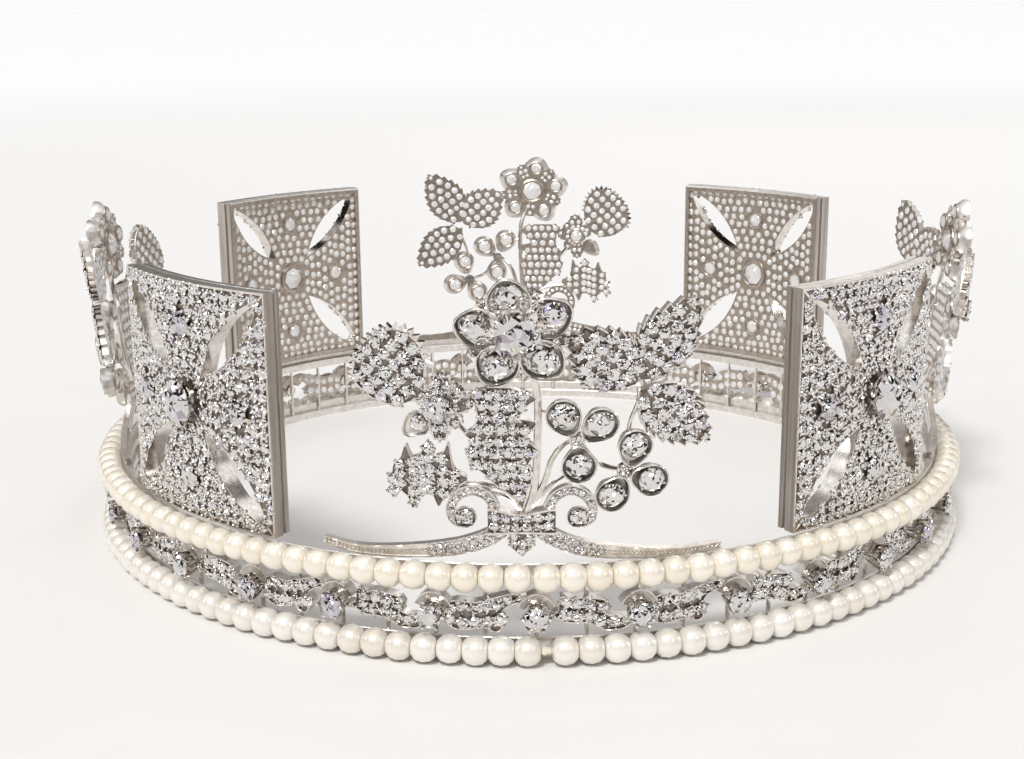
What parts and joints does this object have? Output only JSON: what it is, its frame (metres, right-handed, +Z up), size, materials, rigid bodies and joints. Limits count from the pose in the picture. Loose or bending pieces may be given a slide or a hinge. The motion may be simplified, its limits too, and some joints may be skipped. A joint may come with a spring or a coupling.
{
  "type": "tiara",
  "caption": "Full-circle diadem of white metal: pierced stone-set crosses and floral sprays stand on an openwork band between two strings of pearls.",
  "frame": {"origin": "centre of the ring at the underside of the lower rim, where it rests", "axes": "+Z up along the ring's axis, -Y towards the front spray, +X to the right as seen from the front"},
  "size_m": [0.1884, 0.1884, 0.0658],
  "materials": {
    "white_metal": "polished white metal with fine stone setting",
    "pearl": "lustrous cream",
    "clear_stone": "faceted, clear"
  },
  "bodies": {
    "root": {"band": "white_metal", "cross_front_left": "white_metal", "cross_front_right": "white_metal", "cross_back_right": "white_metal", "cross_back_left": "white_metal", "spray_front": "white_metal", "spray_right": "white_metal", "spray_back": "white_metal", "spray_left": "white_metal", "pearl_string_lower": "pearl", "pearl_string_upper": "pearl", "cross_front_left_stone_centre": "clear_stone", "cross_front_left_stone_top": "clear_stone", "cross_front_left_stone_bottom": "clear_stone", "cross_front_left_stone_left": "clear_stone", "cross_front_left_stone_right": "clear_stone", "cross_front_right_stone_centre": "clear_stone", "cross_front_right_stone_top": "clear_stone", "cross_front_right_stone_bottom": "clear_stone", "cross_front_right_stone_left": "clear_stone", "cross_front_right_stone_right": "clear_stone", "cross_back_right_stone_centre": "clear_stone", "cross_back_right_stone_top": "clear_stone", "cross_back_right_stone_bottom": "clear_stone", "cross_back_right_stone_left": "clear_stone", "cross_back_right_stone_right": "clear_stone", "cross_back_left_stone_centre": "clear_stone", "cross_back_left_stone_top": "clear_stone", "cross_back_left_stone_bottom": "clear_stone", "cross_back_left_stone_left": "clear_stone", "cross_back_left_stone_right": "clear_stone", "spray_front_rose_stone": "clear_stone", "spray_front_thistle_stone": "clear_stone", "spray_right_rose_stone": "clear_stone", "spray_right_thistle_stone": "clear_stone", "spray_back_rose_stone": "clear_stone", "spray_back_thistle_stone": "clear_stone", "spray_left_rose_stone": "clear_stone", "spray_left_thistle_stone": "clear_stone"}
  },
  "joints": []
}
